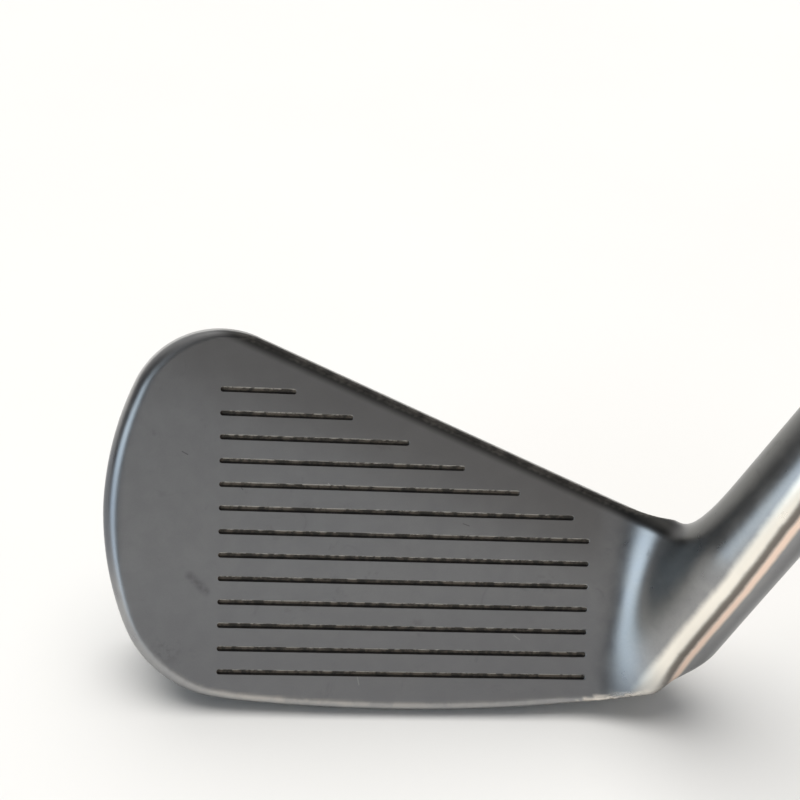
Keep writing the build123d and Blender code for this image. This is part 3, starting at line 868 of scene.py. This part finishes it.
def dress_shaft():
    """Shaft, ferrule and the pieces under and on the grip."""
    dress("shaft", chrome_look())
    dress("shaft_band", band_look())
    ferrule = plastic_look("ferrule_black", grey(0.01, 0.001), grey(0.016, 0.002), 0.2, 3.0, 0.05)
    dress("ferrule", ferrule)
    dress("ferrule_trim_rings", brushed_look("trim_aluminium", grey(0.62), grey(0.75), 0.25))
    dress("grip_cap", plastic_look("cap_rubber", grey(0.014, 0.001), grey(0.024, 0.001), 0.55))
    dress("grip_tape", plastic_look("grip_tape", (0.5, 0.45, 0.36, 1), (0.58, 0.53, 0.44, 1), 0.8))
    dress("tip_weight", brushed_look("brass_weight", (0.55, 0.42, 0.2, 1), (0.66, 0.52, 0.27, 1), 0.35))
    dress("hosel_epoxy", plastic_look("epoxy", (0.25, 0.2, 0.1, 1), (0.32, 0.26, 0.14, 1), 0.3))


def dress_cavity():
    """Pad, adhesive, badge and toe weight."""
    dress("cavity_pad", plastic_look("pad_rubber", grey(0.02, 0.001), grey(0.032, 0.001), 0.6))
    dress("badge_adhesive", plastic_look("adhesive", (0.3, 0.3, 0.29, 1), (0.36, 0.36, 0.34, 1), 0.6))
    dress("cavity_badge", brushed_look("badge_aluminium", grey(0.42, 0.01), grey(0.55, 0.01), 0.3))
    dress("toe_weight", brushed_look("tungsten", grey(0.25, 0.01), grey(0.34, 0.01), 0.35, (3, 3, 3)))


# ---- stage --------------------------------------------------------------------------------------
FLOOR_SIZE, FLOOR_GAP = 400, 0.0002      # metres; the gap keeps the floor clear of the sole


def make_floor():
    bpy.ops.mesh.primitive_plane_add(size=FLOOR_SIZE, location=(0, 0, -FLOOR_GAP))
    floor = bpy.context.object
    floor.name = "floor"
    look = Look("floor_paper", Roughness=0.9)
    soft = look.noise(0.01, 3, 0.5)
    tone = look.blend(soft, (0.80, 0.795, 0.78, 1), (0.84, 0.835, 0.82, 1))
    floor.data.materials.append(look.give(Base_Color=tone))


def lobe(tree, facing, azimuth, elevation, inner, outer, start, colour, strength):
    """Adds a soft patch of light to the surroundings; azimuth 0 is the target side, 90 the heel side."""
    a, e = math.radians(azimuth), math.radians(elevation)
    aim = (math.sin(a) * math.cos(e), -math.cos(a) * math.cos(e), math.sin(e))
    dot = tree.nodes.new("ShaderNodeVectorMath")
    dot.operation = "DOT_PRODUCT"
    dot.inputs[1].default_value = aim
    tree.links.new(facing, dot.inputs[0])
    share = tree.nodes.new("ShaderNodeMapRange")
    share.interpolation_type = "SMOOTHSTEP"
    tree.links.new(dot.outputs["Value"], share.inputs["Value"])
    share.inputs["From Min"].default_value = math.cos(math.radians(outer))
    share.inputs["From Max"].default_value = math.cos(math.radians(inner))
    patch = tree.nodes.new("ShaderNodeMix")
    patch.data_type, patch.blend_type = "RGBA", "ADD"
    tree.links.new(share.outputs[0], patch.inputs["Factor"])
    tree.links.new(start, patch.inputs["A"])
    patch.inputs["B"].default_value = tuple(c * strength for c in colour) + (1,)
    return patch.outputs["Result"]


def make_world():
    """Soft room: dim in front, cool on the toe side, warm on the heel side, lit from behind and above."""
    world = bpy.data.worlds.new("studio")
    world.use_nodes = True
    tree = world.node_tree
    facing = tree.nodes.new("ShaderNodeTexCoord").outputs["Generated"]
    base = tree.nodes.new("ShaderNodeRGB").outputs[0]
    base.default_value = (0.10, 0.10, 0.105, 1)
    light = lobe(tree, facing, 5, 12, 4, 22, base, (1.0, 0.98, 0.95), 0.36)
    light = lobe(tree, facing, -50, 12, 6, 26, light, (0.72, 0.87, 1.0), 2.6)
    light = lobe(tree, facing, 60, 10, 8, 40, light, (1.0, 0.85, 0.75), 0.35)
    light = lobe(tree, facing, 180, 20, 20, 80, light, (1.0, 0.99, 0.97), 0.45)
    light = lobe(tree, facing, 0, 90, 15, 50, light, (1.0, 0.99, 0.97), 0.3)
    tree.links.new(light, tree.nodes["Background"].inputs["Color"])
    bpy.context.scene.world = world


def make_lights():
    sun = bpy.data.lights.new("overhead", "SUN")
    sun.energy, sun.angle, sun.color = 2.85, math.radians(70), (1.0, 0.985, 0.96)
    lamp = bpy.data.objects.new("overhead", sun)
    lamp.rotation_euler = Vector((0.2, -0.3, -1.0)).to_track_quat("-Z", "Y").to_euler()
    lamp.visible_glossy = False
    bpy.context.scene.collection.objects.link(lamp)
    bpy.context.scene.view_settings.view_transform = "Standard"


def make_camera():
    """Camera from its turn against the face plane."""
    flat = math.cos(CAMERA_YAW)
    forward = (np.array([math.sin(CAMERA_YAW), 0, 0]) - FACE_UP * flat * math.sin(CAMERA_PITCH)
               - FACE_OUT * flat * math.cos(CAMERA_PITCH))
    right = unit(np.cross(forward, FACE_UP))
    up = np.cross(right, forward)
    side = math.cos(CAMERA_ROLL) * right + math.sin(CAMERA_ROLL) * up
    top = -math.sin(CAMERA_ROLL) * right + math.cos(CAMERA_ROLL) * up
    place = (from_face(AIM_HEIGHT, 0) + np.array([AIM_X, 0, 0]) - CAMERA_DISTANCE * forward) * MM
    data = bpy.data.cameras.new("camera")
    data.lens, data.sensor_width, data.clip_start = CAMERA_LENS, 36.0, 0.01
    camera = bpy.data.objects.new("camera", data)
    camera.matrix_world = Matrix(np.column_stack([side, top, -forward]).tolist()).to_4x4()
    camera.location = place
    bpy.context.scene.collection.objects.link(camera)
    bpy.context.scene.camera = camera


build_pieces()
dress_shaft()
dress_cavity()
make_floor()
make_world()
make_lights()
make_camera()
